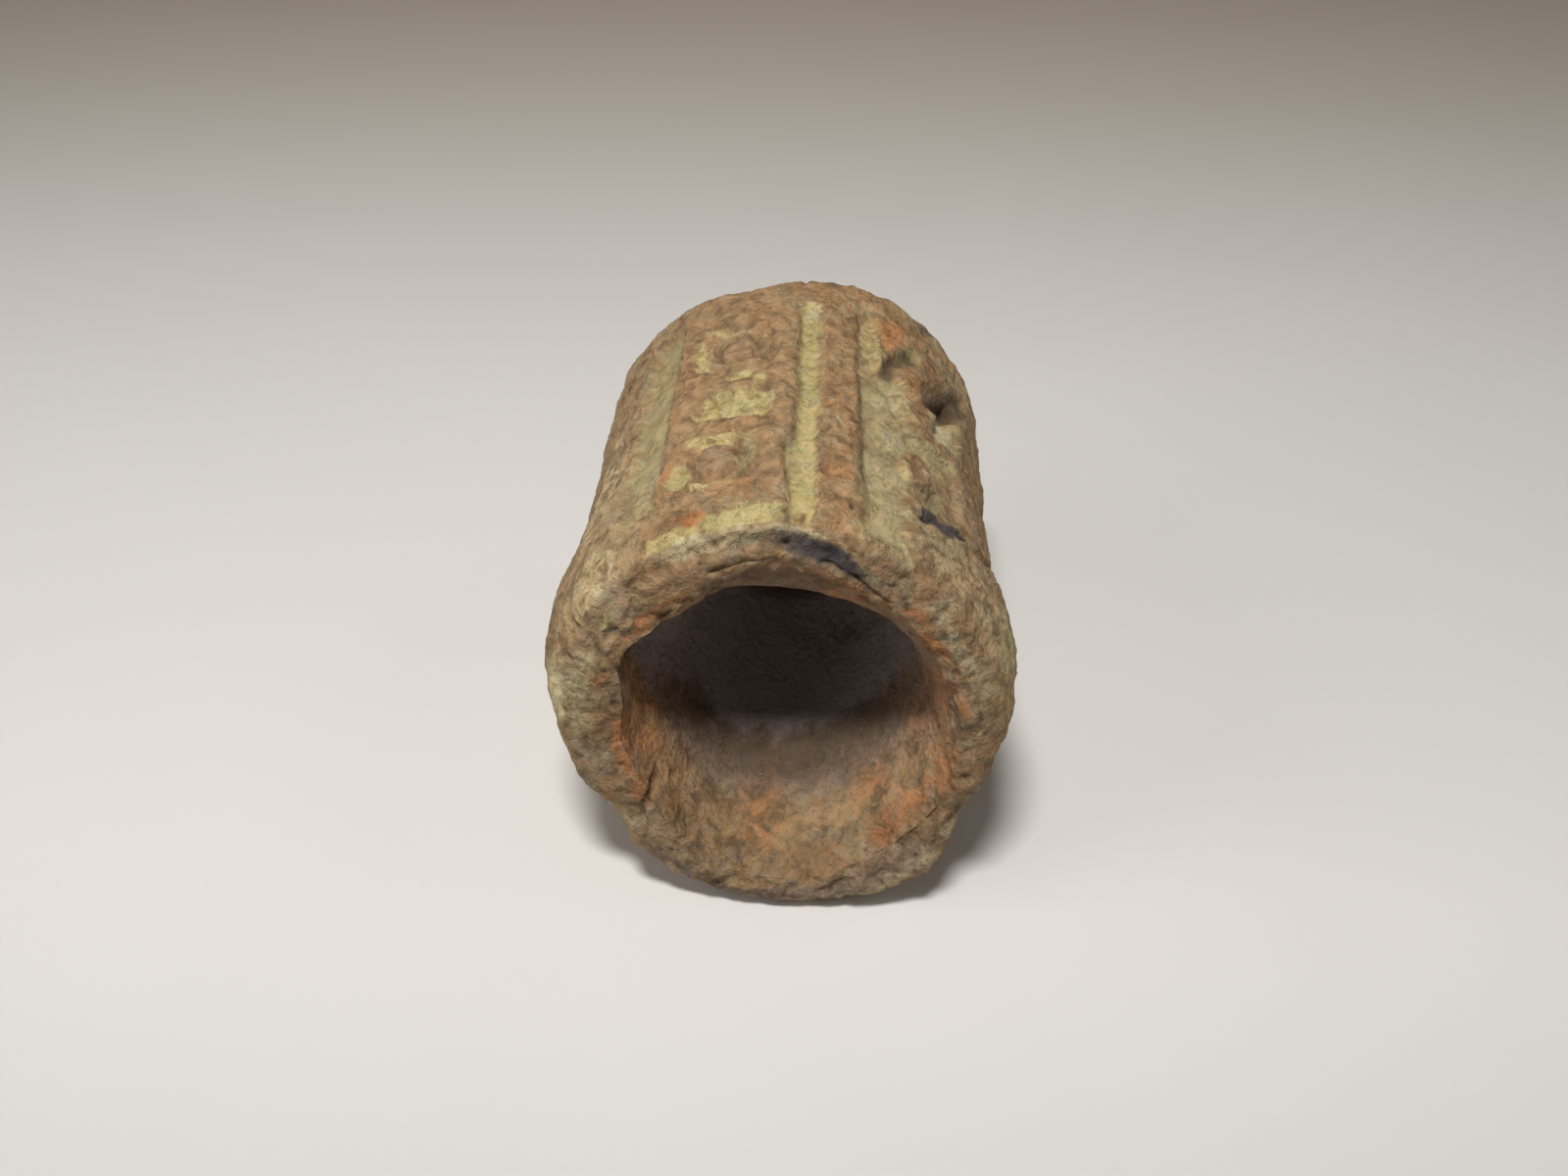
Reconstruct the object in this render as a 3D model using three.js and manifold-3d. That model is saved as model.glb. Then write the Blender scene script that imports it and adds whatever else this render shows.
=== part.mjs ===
// Fired-clay roller seal, lying on its side: a short carved barrel with a pressed-out collar round
// a mouth that leans back, a funnel-shaped hollow behind the mouth and a narrow bore through to a
// shallow dish in the far end.
// Units are millimetres. +Z is up, the barrel's axis runs along Y, the mouth faces -Y.
// The origin is on the resting flat under the barrel. Angles go round the barrel in degrees,
// 0 at the top, positive towards +X. Stations along the barrel are measured from the top of the
// mouth's ridge towards the far end, so y = station - RIDGE_TO_ORIGIN.

import * as THREE from 'three';
import { mergeVertices } from 'three/addons/utils/BufferGeometryUtils.js';
import Module from 'manifold-3d';

// ---- driving dimensions of the form ----
const BARREL_RADIUS = 20.5;
const AXIS_HEIGHT = 20.2;            // a little under the radius, which leaves the resting flat
const RIDGE_TO_ORIGIN = 16;
const MOUTH_STATION = -4.3;          // where the mouth plane crosses the axis
const MOUTH_LEAN = 14.1;             // degrees that the mouth plane leans back at the top
const LEAN_REACH = 22;               // the lean has died out this far behind the mouth
const FAR_STATION = 42.6;            // the far rim at its longest
const FAR_ROUNDING = 1.5;
const LIP_RADIUS = 19.4;             // outer edge of the mouth's lip
const LIP_CROWN = 0.5;               // the lip's face stands this far proud between its edges
const LIP_ROUNDING = 5;              // the outside swells from the lip to full width over this length
const COLLAR_STATION = 8.5;          // the collar is widest this far behind the mouth
const COLLAR_FRONT = 9;              // fall of the collar towards the mouth
const COLLAR_BACK = 6.5;             // fall of the collar towards the barrel
const MOUTH_RADIUS = 14.9;           // inner edge of the lip
const FUNNEL_DEPTH = 23;
const FUNNEL_BULGE = 0.9;            // 1 is a quarter of a circle, less is fuller
const BORE_RADIUS = 4.8;
const FAR_DISH_RADIUS = 9;
const FAR_DISH_DEPTH = 3;
const FAR_FACE_RADIUS = 15;          // the far face is level inside this, uneven outside it
const SIDES = 96;                    // facets round the barrel

// ---- driving dimensions of the carving ----
const GROOVE_DEPTH = 1.0;
const FIELD_DEPTH = 0.9;
const SHALLOW_DEPTH = 0.5;
const PIT_DEPTH = 2.4;
const CARVED_FROM = 1.5;             // station of the carving's near end
const CARVED_TO = 37.5;              // a plain band is left round the far rim
const BOSS_RADIUS = 2.2;
const RING_RADIUS = 3.9;
const CUTTER_STEP = 5;               // degrees between facets of a long cutter
const CUTTER_OVERSHOOT = 4;          // cutters stand this far outside the barrel

const FULL_LENGTH = FAR_STATION - MOUTH_STATION;
const TURN = 2 * Math.PI;
const { degToRad, radToDeg, euclideanModulo, clamp, lerp } = THREE.MathUtils;

/** A soft swelling of height 1 at `centre` degrees, fading over about `width` degrees. */
function swell(angle, centre, width) {
  const away = euclideanModulo(angle - centre + 180, 360) - 180;
  return Math.exp(-((away / width) ** 2));
}

/** The worn outline of the lip: thin at the left, chipped low on the left, full low on the right. */
function lipRadius(angle) {
  return LIP_RADIUS
    - 0.9 * swell(angle, -75, 30)
    - 2.2 * swell(angle, -126, 8)
    - 1.0 * swell(angle, -142, 26)
    - 0.3 * swell(angle, -165, 20)
    - 0.4 * swell(angle, 112, 12)
    + 1.2 * swell(angle, 142, 24)
    + 0.5 * swell(angle, 80, 25);
}

/** How far the collar stands outside the barrel: it was pressed out to the sides only. */
function collarHeight(angle) {
  return 0.1
    + 1.3 * swell(angle, -79, 25)
    + 1.7 * swell(angle, 84, 25)
    - 0.6 * swell(angle, -108, 14)
    - 1.2 * swell(angle, -126, 14)
    - 1.0 * swell(angle, 116, 14)
    - 0.5 * swell(angle, -150, 25);
}

/** Inner edge of the lip, pulled narrow low on the left and wide on the right. */
function mouthRadius(angle) {
  return MOUTH_RADIUS
    + 1.8 * swell(angle, 98, 36)
    - 1.6 * swell(angle, -118, 32)
    - 0.6 * swell(angle, 20, 45)
    + 0.6 * swell(angle, 180, 30);
}

/** Length of the barrel behind the mouth at the uneven far rim. */
function rimLength(angle) {
  return FULL_LENGTH
    - 2.1 * swell(angle, -18, 20)
    - 1.0 * swell(angle, -50, 15)
    - 1.2 * swell(angle, 60, 12);
}

/** Radius of the outside at `behind` mm behind the mouth. */
function outsideRadius(angle, behind) {
  const fall = behind < COLLAR_STATION ? COLLAR_FRONT : COLLAR_BACK;
  const collar = Math.exp(-(((behind - COLLAR_STATION) / fall) ** 2));
  const full = BARREL_RADIUS + collarHeight(angle) * collar;
  const start = clamp(behind / LIP_ROUNDING, 0, 1);
  return lerp(lipRadius(angle), full, Math.sqrt(1 - (1 - start) ** 2));
}

/** Radius of the funnel at `behind` mm behind the mouth. */
function funnelRadius(angle, behind) {
  const share = clamp(behind / FUNNEL_DEPTH, 0, 1);
  return lerp(BORE_RADIUS, mouthRadius(angle), Math.cos(share * Math.PI / 2) ** FUNNEL_BULGE);
}

/** Station of a point `behind` mm behind the mouth and `height` mm above the axis. */
function leanedStation(behind, height) {
  const share = clamp(1 - behind / LEAN_REACH, 0, 1);
  return MOUTH_STATION + behind + Math.tan(degToRad(MOUTH_LEAN)) * height * share;
}

/** The closed section as rows of [radius, behind]: far dish, bore, funnel, lip, outside, far rim. */
function sectionRows() {
  const farFace = FULL_LENGTH - 1;
  const rows = [
    (angle) => [FAR_FACE_RADIUS, lerp(farFace, rimLength(angle), 0.3)],
    () => [FAR_DISH_RADIUS, farFace - 0.3],
    () => [(BORE_RADIUS + FAR_DISH_RADIUS) / 2, farFace - 0.7 * FAR_DISH_DEPTH],
    () => [BORE_RADIUS, farFace - FAR_DISH_DEPTH],
    () => [BORE_RADIUS, FUNNEL_DEPTH + 2],
  ];
  for (const behind of [20, 16, 12, 8, 4, 1]) {
    rows.push((angle) => [funnelRadius(angle, behind), behind]);
  }
  for (const across of [0, 0.3, 0.65, 1]) {
    rows.push((angle) => [
      lerp(mouthRadius(angle) + 0.3, lipRadius(angle), across),
      -LIP_CROWN * Math.sin(across * Math.PI),
    ]);
  }
  for (const behind of [0.5, 1.6, 3.5, 6, 9, 12, 15, 18, 22, 29, 36]) {
    rows.push((angle) => [outsideRadius(angle, behind), behind]);
  }
  for (const back of [FAR_ROUNDING, 0.3 * FAR_ROUNDING, 0]) {
    const drop = FAR_ROUNDING - Math.sqrt(FAR_ROUNDING ** 2 - (FAR_ROUNDING - back) ** 2);
    rows.push((angle) => [outsideRadius(angle, FULL_LENGTH) - drop, rimLength(angle) - back]);
  }
  return rows;
}

/** The uncarved form: a lathe ring whose vertices are then set to their own radius and station. */
function uncarvedForm() {
  const rows = sectionRows();
  const profile = rows.map((row) => new THREE.Vector2(...row(0)));
  profile.push(profile[0].clone());
  const form = new THREE.LatheGeometry(profile, SIDES);
  const place = form.getAttribute('position');
  for (let side = 0; side <= SIDES; side += 1) {
    const turn = (side % SIDES) * TURN / SIDES;
    for (let i = 0; i < profile.length; i += 1) {
      const [radius, behind] = rows[i % rows.length](radToDeg(turn));
      const height = radius * Math.cos(turn);
      const y = leanedStation(behind, height) - RIDGE_TO_ORIGIN;
      place.setXYZ(side * profile.length + i, radius * Math.sin(turn), y, height + AXIS_HEIGHT);
    }
  }
  return form;
}

const wasm = await Module();
wasm.setup();

/** Turns a closed three.js geometry into a solid that can be cut. */
function solid(geometry) {
  geometry.deleteAttribute('normal');
  geometry.deleteAttribute('uv');
  const merged = mergeVertices(geometry);
  return new wasm.Manifold(new wasm.Mesh({
    numProp: 3,
    vertProperties: new Float32Array(merged.getAttribute('position').array),
    triVerts: new Uint32Array(merged.index.array),
  }));
}

/** Turns a solid back into a three.js geometry. */
function geometryOf(body) {
  const { vertProperties, triVerts } = body.getMesh();
  const geometry = new THREE.BufferGeometry();
  geometry.setAttribute('position', new THREE.BufferAttribute(new Float32Array(vertProperties), 3));
  geometry.setIndex(new THREE.BufferAttribute(new Uint32Array(triVerts), 1));
  geometry.computeVertexNormals();
  return geometry;
}

/** Joins a list of solids. */
function joined(list) {
  return list.reduce((sum, item) => sum.add(item));
}

/** A lengthwise strip of the barrel's skin, `depth` deep, between two angles and two stations. */
function strip(fromAngle, toAngle, fromStation, toStation, depth) {
  const start = degToRad(90 - fromAngle);
  const end = degToRad(90 - toAngle);
  const section = new THREE.Shape();
  section.absarc(0, 0, BARREL_RADIUS + CUTTER_OVERSHOOT, start, end, true);
  section.absarc(0, 0, BARREL_RADIUS - depth, end, start, false);
  const geometry = new THREE.ExtrudeGeometry(section, {
    depth: toStation - fromStation,
    bevelEnabled: false,
    curveSegments: Math.max(2, Math.ceil((toAngle - fromAngle) / CUTTER_STEP)),
  });
  geometry.rotateX(Math.PI / 2);
  geometry.translate(0, toStation - RIDGE_TO_ORIGIN, AXIS_HEIGHT);
  return solid(geometry);
}

/** Sets a cutter made along +Z on the barrel, at an angle and a station, pointing out. */
function onBarrel(geometry, angle, station, slant) {
  geometry.rotateZ(degToRad(slant));
  geometry.rotateY(degToRad(angle));
  geometry.translate(0, station - RIDGE_TO_ORIGIN, AXIS_HEIGHT);
  return solid(geometry);
}

/** A flat outline run out along the radius, from `depth` inside the barrel's skin. */
function standing(outline, curveSegments, depth, angle, station, slant) {
  const geometry = new THREE.ExtrudeGeometry(outline, {
    depth: depth + CUTTER_OVERSHOOT, bevelEnabled: false, curveSegments,
  });
  geometry.translate(0, 0, BARREL_RADIUS - depth);
  return onBarrel(geometry, angle, station, slant);
}

/** An oval cutter, `across` and `along` being its radii before it is slanted. */
function oval(angle, station, across, along, depth, slant = 0) {
  const outline = new THREE.Shape();
  outline.absellipse(0, 0, across, along, 0, TURN);
  return standing(outline, 14, depth, angle, station, slant);
}

/** A slot cutter with round ends, `length` over all. */
function slot(angle, station, width, length, depth, slant = 0) {
  const round = width / 2;
  const reach = length / 2 - round;
  const outline = new THREE.Shape();
  outline.absarc(0, reach, round, 0, Math.PI);
  outline.absarc(0, -reach, round, Math.PI, TURN);
  return standing(outline, 5, depth, angle, station, slant);
}

/** A round-bottomed hollow scooped into the barrel. */
function scoop(angle, station, across, along, depth, slant = 0) {
  const geometry = new THREE.SphereGeometry(1, 12, 8);
  geometry.scale(across, along, depth * 1.5);
  geometry.translate(0, 0, BARREL_RADIUS + depth * 0.5);
  return onBarrel(geometry, angle, station, slant);
}

/** A sunk ring with a boss left standing in it. */
function ringedBoss(angle, station) {
  return oval(angle, station, RING_RADIUS, RING_RADIUS, FIELD_DEPTH)
    .subtract(oval(angle, station, BOSS_RADIUS, BOSS_RADIUS, FIELD_DEPTH + 1));
}

/** The framed panel left of the top: two ringed bosses with a sunk block between them. */
function panelCarving() {
  return [
    ringedBoss(-15, 28.5),
    strip(-26, -5, 16, 20.5, FIELD_DEPTH),
    ringedBoss(-17, 10),
    oval(-12, 23.2, 1.4, 0.8, SHALLOW_DEPTH, 20),
    strip(-32, -2, -0.2, 2.2, SHALLOW_DEPTH),
  ];
}

/** The lengthwise grooves between the panel, the bar and the figured field. */
function grooveCarving() {
  const length = CARVED_TO - CARVED_FROM;
  const middle = (CARVED_TO + CARVED_FROM) / 2;
  return [
    slot(5.8, middle - 1, 2.1, length - 2, GROOVE_DEPTH, 0.8),
    strip(20.5, 26, CARVED_FROM, CARVED_TO - 1, GROOVE_DEPTH),
    slot(-40.5, middle + 2, 4.8, length - 4, FIELD_DEPTH, 0.5),
  ];
}

/** The sunk field right of the bar, with a lobed stem and an oval boss standing in it, and pits. */
function figureCarving() {
  const field = joined([
    strip(20.5, 33, CARVED_FROM, 27, FIELD_DEPTH),
    slot(43, 14.5, 9, 11.5, FIELD_DEPTH, -6),
    oval(51, 25.5, 2.1, 4, FIELD_DEPTH, -16),
  ]);
  const standingParts = joined([
    oval(40, 12.8, 2.4, 3.1, FIELD_DEPTH + 1, -8),
    oval(37, 25.5, 2.3, 5, FIELD_DEPTH + 1, -6),
    slot(49, 20.2, 1.8, 8, FIELD_DEPTH + 1, -70),
  ]);
  return [
    field.subtract(standingParts),
    scoop(31, 30.2, 1.4, 3.4, PIT_DEPTH, -42),
    scoop(49, 30, 2, 4, PIT_DEPTH, -50),
  ];
}

/** Plainer carving in keeping on the two sides and low down, clear of the resting flat. */
function sideCarving() {
  const sideFrom = 9;
  const length = CARVED_TO - sideFrom;
  const middle = (CARVED_TO + sideFrom) / 2;
  return [
    ...[-97, -135, 91, 103, 145].map((angle) => slot(angle, middle, 2.1, length, GROOVE_DEPTH)),
    ringedBoss(-116, 15),
    ringedBoss(-116, 30),
    ringedBoss(124, 15),
    strip(117, 131, 23, 30, SHALLOW_DEPTH),
  ];
}

/** The ground below the resting plane: it cuts the narrow flat that stops the seal rolling. */
function ground() {
  const block = new THREE.BoxGeometry(4 * BARREL_RADIUS, 3 * FULL_LENGTH, BARREL_RADIUS);
  block.translate(0, 0, -BARREL_RADIUS / 2);
  return solid(block);
}

const cuts = joined([
  ...panelCarving(), ...grooveCarving(), ...figureCarving(), ...sideCarving(), ground(),
]);
const firedClay = new THREE.MeshStandardMaterial({ color: 0xa5815f, roughness: 0.93, metalness: 0 });

const seal = new THREE.Mesh(geometryOf(solid(uncarvedForm()).subtract(cuts)), firedClay);
seal.name = 'seal';

const model = new THREE.Group();
model.add(seal);

export default model;
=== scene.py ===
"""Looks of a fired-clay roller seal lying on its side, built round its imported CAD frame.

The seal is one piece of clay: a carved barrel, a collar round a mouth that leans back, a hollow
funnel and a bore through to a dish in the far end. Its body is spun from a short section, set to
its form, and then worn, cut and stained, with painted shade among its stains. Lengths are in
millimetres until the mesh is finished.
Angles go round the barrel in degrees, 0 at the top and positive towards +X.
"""
import logging
import math
from dataclasses import dataclass, field
from enum import Enum
from functools import partial

import bmesh
import bpy
import numpy as np
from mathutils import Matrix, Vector


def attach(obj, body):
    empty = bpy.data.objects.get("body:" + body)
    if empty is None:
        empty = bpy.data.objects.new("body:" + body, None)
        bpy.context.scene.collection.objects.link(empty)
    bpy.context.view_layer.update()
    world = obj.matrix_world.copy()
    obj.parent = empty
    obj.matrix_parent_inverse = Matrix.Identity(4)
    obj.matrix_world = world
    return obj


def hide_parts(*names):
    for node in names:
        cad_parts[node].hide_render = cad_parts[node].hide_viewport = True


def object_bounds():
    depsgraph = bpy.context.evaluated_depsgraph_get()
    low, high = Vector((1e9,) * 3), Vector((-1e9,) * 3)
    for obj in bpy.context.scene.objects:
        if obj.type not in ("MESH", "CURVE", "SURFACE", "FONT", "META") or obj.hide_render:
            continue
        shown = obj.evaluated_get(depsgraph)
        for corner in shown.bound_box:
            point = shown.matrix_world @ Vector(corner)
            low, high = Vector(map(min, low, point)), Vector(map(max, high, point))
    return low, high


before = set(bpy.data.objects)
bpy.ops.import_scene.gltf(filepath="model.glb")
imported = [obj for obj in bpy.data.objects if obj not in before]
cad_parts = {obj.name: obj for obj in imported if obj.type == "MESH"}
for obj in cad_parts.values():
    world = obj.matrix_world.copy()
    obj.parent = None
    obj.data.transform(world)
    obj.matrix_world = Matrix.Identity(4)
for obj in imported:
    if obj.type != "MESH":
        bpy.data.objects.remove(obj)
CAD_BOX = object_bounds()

LOG = logging.getLogger("roller_seal")
Array = np.ndarray
Colour = tuple[float, float, float]
Point = tuple[float, float, float]

MM = 0.001
RUN_SLACK = 1e-4      # a run this little short of a leg's start is on that leg
BLOCK_CORNER = 0.4    # rounding of a block's corners, as a share of its smaller half width
OVAL_STEEPNESS = 0.9  # evens out the distances round an oval
FAR_AWAY = 1e3        # farther than any two places of the seal


def wrapped(degrees: Array | float) -> Array | float:
    """Returns angles brought into -180 to 180 degrees."""
    return (degrees + 180.0) % 360.0 - 180.0


def eased(low: float, high: float, value: Array) -> Array:
    """Returns a smooth step from 0 at `low` to 1 at `high`, which may be the smaller."""
    share = np.clip((value - low) / (high - low), 0.0, 1.0)
    return share * share * (3.0 - 2.0 * share)


def between(start: Array | float, end: Array | float, share: Array | float) -> Array | float:
    """Returns the value that lies `share` of the way from `start` to `end`."""
    return start + (end - start) * share


class ClayNoise:
    """Seeded lattice noise over points in millimetres."""

    CELLS = 32
    START = 100.0      # keeps every cell's number positive
    LAYER_SHIFT = 17.3  # millimetres between the stretches that the layers are taken from

    def __init__(self, seed: int) -> None:
        """Fills the lattice, always the same for one seed."""
        self.lattice = np.random.default_rng(seed).random((self.CELLS,) * 3)

    def single(self, points: Array, feature: float) -> Array:
        """One layer of noise.

        Args:
            points: Places in millimetres, one a row.
            feature: Width of a lump in millimetres.

        Returns:
            Values from 0 to 1, one a point.
        """
        cell = points / feature + self.START
        whole = np.floor(cell).astype(int)
        part = cell - whole
        part = part * part * (3.0 - 2.0 * part)
        total = np.zeros(len(points))
        for corner in np.ndindex(2, 2, 2):
            at = (whole + corner) % self.CELLS
            weight = np.prod(np.where(corner, part, 1.0 - part), axis=1)
            total += weight * self.lattice[at[:, 0], at[:, 1], at[:, 2]]
        return total

    def layered(self, points: Array, feature: float, layers: int = 4, keep: float = 0.55) -> Array:
        """Several layers of noise, each half the width of the one before.

        Args:
            points: Places in millimetres, one a row.
            feature: Width of the widest lumps in millimetres.
            layers: How many layers are added.
            keep: Strength of each layer beside the one before.

        Returns:
            Values from 0 to 1, one a point, gathered round a half.
        """
        total, weight, strength = np.zeros(len(points)), 0.0, 1.0
        for layer in range(layers):
            total += strength * self.single(points + self.LAYER_SHIFT * layer, feature)
            weight += strength
            strength *= keep
            feature *= 0.5
        return total / weight


@dataclass(frozen=True)
class Swell:
    """A soft swelling or hollow of an outline, round one angle."""

    height: float
    centre: float
    width: float

    def at(self, angle: Array) -> Array:
        """Returns the swelling's height at each angle."""
        return self.height * np.exp(-((wrapped(angle - self.centre) / self.width) ** 2))


def swollen(base: float, swells: tuple[Swell, ...], angle: Array) -> Array:
    """Returns an outline of one base size with its swellings added."""
    return base + sum(swell.at(angle) for swell in swells)


class Leg(Enum):
    """The legs of the section, in the order in which it runs: (order, rows of faces)."""

    DISH = (0, 12)
    BORE = (1, 4)
    FUNNEL = (2, 44)
    LIP = (3, 24)
    OUTSIDE = (4, 130)
    FAR_EDGE = (5, 7)
    FAR_FACE = (6, 8)

    @property
    def start(self) -> int:
        """Returns the leg's place in the run of the section."""
        return self.value[0]

    @property
    def rows(self) -> int:
        """Returns how many rows of faces the leg gets."""
        return self.value[1]


@dataclass(frozen=True)
class BarrelForm:
    """The uncarved form: every size of the section, and where a point of the section lies."""

    barrel_radius: float = 20.5
    axis_height: float = 20.2
    ridge_to_origin: float = 16.0
    mouth_station: float = -4.3
    mouth_lean: float = 14.1
    lean_reach: float = 22.0
    length: float = 46.9
    far_rounding: float = 1.5
    lip_crown: float = 0.5
    lip_rounding: float = 5.0
    edge_reach: float = 4.0
    edge_flare: float = 0.4
    collar_station: float = 8.5
    collar_front: float = 9.0
    collar_back: float = 6.5
    funnel_depth: float = 23.0
    funnel_bulge: float = 0.9
    bore_radius: float = 4.8
    dish_radius: float = 9.0
    dish_depth: float = 3.0
    face_radius: float = 15.0
    far_setback: float = 1.0
    far_unevenness: float = 0.3
    skin_slope: float = 1.1
    hollow_scale: float = 11.0
    lip_base: float = 19.4
    lip: tuple[Swell, ...] = (
        Swell(-1.1, -83, 30), Swell(-2.8, -124, 9), Swell(-1.3, -138, 24), Swell(-0.5, -165, 20),
        Swell(-1.3, 116, 7), Swell(1.5, 136, 18), Swell(-0.35, 175, 25), Swell(0.5, 80, 25),
        Swell(-0.8, -22, 18),
    )
    collar_base: float = 0.1
    collar: tuple[Swell, ...] = (
        Swell(1.3, -79, 25), Swell(1.7, 84, 25), Swell(-0.9, -108, 14), Swell(-1.8, -126, 14),
        Swell(-1.0, 114, 14), Swell(-0.5, -150, 25),
    )
    mouth_base: float = 14.5
    mouth: tuple[Swell, ...] = (
        Swell(1.2, 98, 36), Swell(-1.6, -118, 32), Swell(-0.7, 10, 45), Swell(0.6, 180, 30),
        Swell(-2.9, 18, 50), Swell(-1.2, -44, 20), Swell(0.7, -62, 10), Swell(-1.0, -82, 14),
    )
    flare: tuple[Swell, ...] = (Swell(3.6, 25, 58), Swell(1.0, 5, 30), Swell(0.9, 160, 60))
    reach: tuple[Swell, ...] = (Swell(3.5, 35, 50),)
    undercut: tuple[Swell, ...] = (Swell(1.4, -68, 22),)
    undercut_depth: float = 13.0
    far_rim: tuple[Swell, ...] = (Swell(-2.1, -18, 20), Swell(-1.0, -50, 15), Swell(-1.2, 60, 12))

    def lip_radius(self, angle: Array) -> Array:
        """Returns the outer edge of the lip."""
        return swollen(self.lip_base, self.lip, angle)

    def mouth_radius(self, angle: Array) -> Array:
        """Returns the inner edge of the lip."""
        return swollen(self.mouth_base, self.mouth, angle)

    def rim_length(self, angle: Array) -> Array:
        """Returns the barrel's length behind the mouth at the uneven far rim."""
        return swollen(self.length, self.far_rim, angle)

    def outside_radius(self, angle: Array, behind: Array) -> Array:
        """The outside of the barrel and collar.

        Args:
            angle: Angles round the barrel.
            behind: Distances behind the mouth.

        Returns:
            Radii, one a point.
        """
        fall = np.where(behind < self.collar_station, self.collar_front, self.collar_back)
        collar = np.exp(-(((behind - self.collar_station) / fall) ** 2))
        full = self.barrel_radius + swollen(self.collar_base, self.collar, angle) * collar
        start = np.clip(behind / self.lip_rounding, 0.0, 1.0)
        return between(self.lip_radius(angle), full, np.sqrt(1.0 - (1.0 - start) ** 2))

    def section(self, angle: Array, run: Array) -> tuple[Array, Array]:
        """Where each point of the section lies.

        Args:
            angle: Angles round the barrel.
            run: Places along the section: the leg's number and the share of it that is passed.

        Returns:
            Radii, and distances behind the mouth.
        """
        leg = np.floor(run + RUN_SLACK).astype(int) % len(Leg)
        share = np.clip(run - np.floor(run + RUN_SLACK), 0.0, 1.0)
        radius, behind = np.zeros(len(run)), np.zeros(len(run))

        def fill(which: Leg, new_radius: Array, new_behind: Array) -> None:
            """Sets the points of one leg."""
            here = leg == which.start
            radius[here], behind[here] = new_radius[here], new_behind[here]

        far_face, rim = self.length - self.far_setback, self.rim_length(angle)
        across = between(self.face_radius, self.bore_radius, share)
        bowl = eased(self.dish_radius + 1.0, self.bore_radius, across)
        level = between(far_face, rim, self.far_unevenness * (1.0 - share) ** 3)
        fill(Leg.DISH, across, level - self.dish_depth * bowl)
        fill(Leg.BORE, np.full(len(run), self.bore_radius),
             between(far_face - self.dish_depth, self.funnel_depth, share))
        mouth = self.mouth_radius(angle)
        inside = self.funnel_depth * (1.0 - share) ** 1.7
        narrowing = np.cos(inside / self.funnel_depth * math.pi / 2) ** self.funnel_bulge
        flare = swollen(self.edge_flare, self.flare, angle)
        reach = swollen(self.edge_reach, self.reach, angle)
        turned_out = flare * np.clip(1.0 - inside / reach, 0.0, 1.0) ** 2
        hidden = np.sin(np.clip(inside / self.undercut_depth, 0.0, 1.0) * math.pi)
        under = swollen(0.0, self.undercut, angle) * hidden
        fill(Leg.FUNNEL, between(self.bore_radius, mouth, narrowing) + turned_out + under, inside)
        lip = self.lip_radius(angle)
        fill(Leg.LIP, between(mouth + flare, lip, share),
             -self.lip_crown * np.sin(share * math.pi))
        back = (rim - self.far_rounding) * share ** 1.06
        fill(Leg.OUTSIDE, self.outside_radius(angle, back), back)
        turn = share * math.pi / 2
        end_radius = self.outside_radius(angle, np.full(len(run), self.length))
        fill(Leg.FAR_EDGE, end_radius - self.far_rounding * (1.0 - np.cos(turn)),
             rim - self.far_rounding * (1.0 - np.sin(turn)))
        face = between(end_radius - self.far_rounding, self.face_radius, share)
        fill(Leg.FAR_FACE, face, between(rim, between(far_face, rim, self.far_unevenness), share))
        return radius, behind

    def station(self, behind: Array, height: Array) -> Array:
        """Finds how far points stand along the axis.

        Args:
            behind: Distances behind the mouth.
            height: Heights above the axis.

        Returns:
            Their stations, counted from the ridge over the mouth.
        """
        share = np.clip(1.0 - behind / self.lean_reach, 0.0, 1.0)
        lean = math.tan(math.radians(self.mouth_lean))
        return self.mouth_station + behind + lean * height * share


class Chart(Enum):
    """The parts of the surface that marks are laid out on."""

    SKIN = "skin"      # the outside, by angle and station
    FACE = "face"      # the lip and the edge of the mouth, by angle and radius
    FUNNEL = "funnel"  # the hollow, by angle and distance behind the mouth


@dataclass
class Surface:
    """Where every vertex of the body lies on the form and on the charts."""

    form: BarrelForm
    angle: Array
    run: Array
    place: Array = field(init=False)
    radius: Array = field(init=False)
    behind: Array = field(init=False)
    ways: dict[Chart, Array] = field(init=False)
    share: dict[Chart, Array] = field(init=False)

    def __post_init__(self) -> None:
        """Works out the places and the charts."""
        form, leg = self.form, np.floor(self.run + RUN_SLACK).astype(int)
        self.radius, self.behind = form.section(self.angle, self.run)
        turn = np.radians(self.angle)
        height = self.radius * np.cos(turn)
        station = form.station(self.behind, height)
        self.place = np.stack([
            self.radius * np.sin(turn), station - form.ridge_to_origin, height + form.axis_height,
        ], axis=1)
        outside = (leg == Leg.OUTSIDE.start) | (leg == Leg.FAR_EDGE.start)
        hollow = leg == Leg.FUNNEL.start
        lip = leg == Leg.LIP.start
        self.ways = {
            Chart.SKIN: station - form.skin_slope * (form.barrel_radius - self.radius),
            Chart.FACE: self.radius,
            Chart.FUNNEL: self.behind,
        }
        self.share = {
            Chart.SKIN: np.where(outside, eased(0.0, 0.5, self.behind), 0.0),
            Chart.FACE: np.where(lip, 1.0, eased(4.0, 1.0, self.behind) * (hollow | outside)),
            Chart.FUNNEL: np.where(hollow, eased(0.5, 2.0, self.behind), 0.0),
        }

    def scale(self, chart: Chart, way: float) -> float:
        """Returns the radius that angles are laid out at near one way of a chart."""
        return {Chart.SKIN: self.form.barrel_radius, Chart.FACE: way,
                Chart.FUNNEL: self.form.hollow_scale}[chart]

    def laid_out(self, chart: Chart, angle: float, way: float, scale: float) -> tuple[Array, Array]:
        """Returns each vertex's place across and along a chart, seen from one point of it."""
        return np.radians(wrapped(self.angle - angle)) * scale, self.ways[chart] - way


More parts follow.
